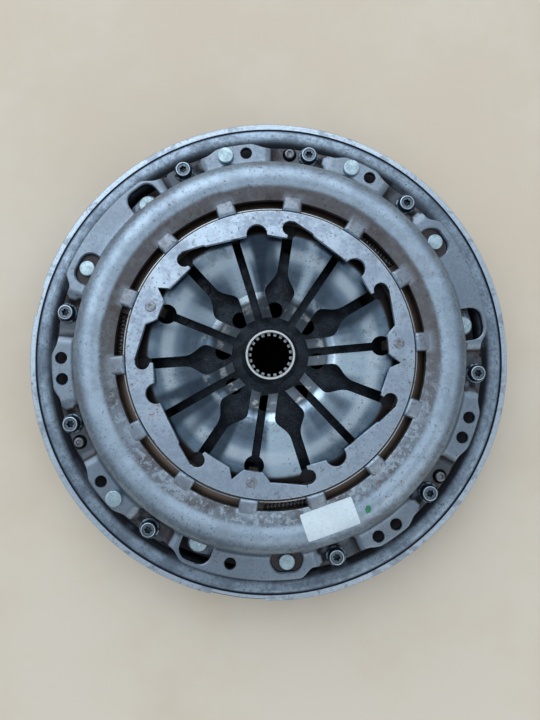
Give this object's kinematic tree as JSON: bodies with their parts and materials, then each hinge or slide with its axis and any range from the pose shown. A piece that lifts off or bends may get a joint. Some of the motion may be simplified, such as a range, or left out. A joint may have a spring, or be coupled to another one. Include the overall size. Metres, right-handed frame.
{
  "type": "clutch pressure plate assembly",
  "caption": "Self-adjusting clutch: pressed cover, slotted diaphragm spring, pressure plate on leaf springs and splined disc, bolted to a sprung dual-mass flywheel.",
  "frame": {"origin": "shaft axis at the back of the spring channel, the plane the clutch rests on", "axes": "+Z along the shaft towards the gearbox; +X and +Y across the clutch"},
  "size_m": [0.3, 0.3, 0.077],
  "materials": {
    "flywheel_steel": "turned steel, dulled and mottled",
    "flywheel_sheet": "pressed steel plate, dulled",
    "spring_steel": "oiled spring steel",
    "slide_shell": "nylon slide shell",
    "bush_metal": "bronze",
    "cast_iron": "cast iron with machined faces",
    "rivet_steel": "bright plated rivets",
    "diaphragm_steel": "blued and polished spring steel",
    "cover_steel": "oiled pressed steel with rust specks",
    "bolt_steel": "phosphated bolts",
    "pin_steel": "plain ground pins",
    "ring_steel": "pressed steel, lightly rusted at the edges",
    "hub_steel": "forged and broached steel",
    "disc_steel": "oil-blackened spring steel",
    "facing": "woven friction lining"
  },
  "bodies": {
    "primary": {"primary_flywheel": "flywheel_steel", "primary_cover": "flywheel_sheet", "arc_springs": "spring_steel", "spring_shells": "slide_shell", "pilot_bush": "bush_metal", "thrust_washer": "bush_metal"},
    "secondary": {"secondary_flywheel": "cast_iron", "drive_plate": "spring_steel", "drive_plate_rivets": "rivet_steel", "leaf_springs": "spring_steel", "diaphragm_spring": "diaphragm_steel", "sensor_spring": "diaphragm_steel", "clutch_cover": "cover_steel", "cover_bolts": "bolt_steel", "dowel_pins": "pin_steel", "balance_rivets": "rivet_steel", "strap_cover_rivets": "rivet_steel", "support_ring": "ring_steel", "ring_rivets": "ring_steel", "spring_hooks": "cover_steel", "adjuster_springs": "spring_steel"},
    "pressure_plate": {"pressure_plate": "cast_iron", "strap_plate_rivets": "rivet_steel"},
    "driven_disc": {"disc_hub": "hub_steel", "disc_web": "disc_steel", "cushion_segments": "disc_steel", "segment_rivets": "disc_steel", "facing_engine_side": "facing", "facing_gearbox_side": "facing", "facing_rivets": "bush_metal"},
    "adjuster": {"adjuster_ring": "ring_steel"}
  },
  "joints": [
    {"name": "secondary_twist", "type": "hinge", "parent": "primary", "child": "secondary", "pos_m": [0, 0, 0], "axis": [0, 0, 1], "range_deg": [-45, 45], "stiffness_Nm_per_rad": 115, "deforming": ["arc_springs"]},
    {"name": "plate_lift", "type": "slide", "parent": "secondary", "child": "pressure_plate", "axis": [0, 0, 1], "range_m": [0, 0.0018], "stiffness_N_per_m": 20000, "springref_m": -0.004, "deforming": ["leaf_springs", "diaphragm_spring"]},
    {"name": "disc_spin", "type": "hinge", "parent": "secondary", "child": "driven_disc", "pos_m": [0, 0, 0], "axis": [0, 0, 1], "continuous": true},
    {"name": "adjuster_turn", "type": "hinge", "parent": "secondary", "child": "adjuster", "pos_m": [0, 0, 0], "axis": [0, 0, 1], "range_deg": [0, 12], "stiffness_Nm_per_rad": 0.6, "springref_deg": -28.65, "deforming": ["adjuster_springs"]}
  ]
}
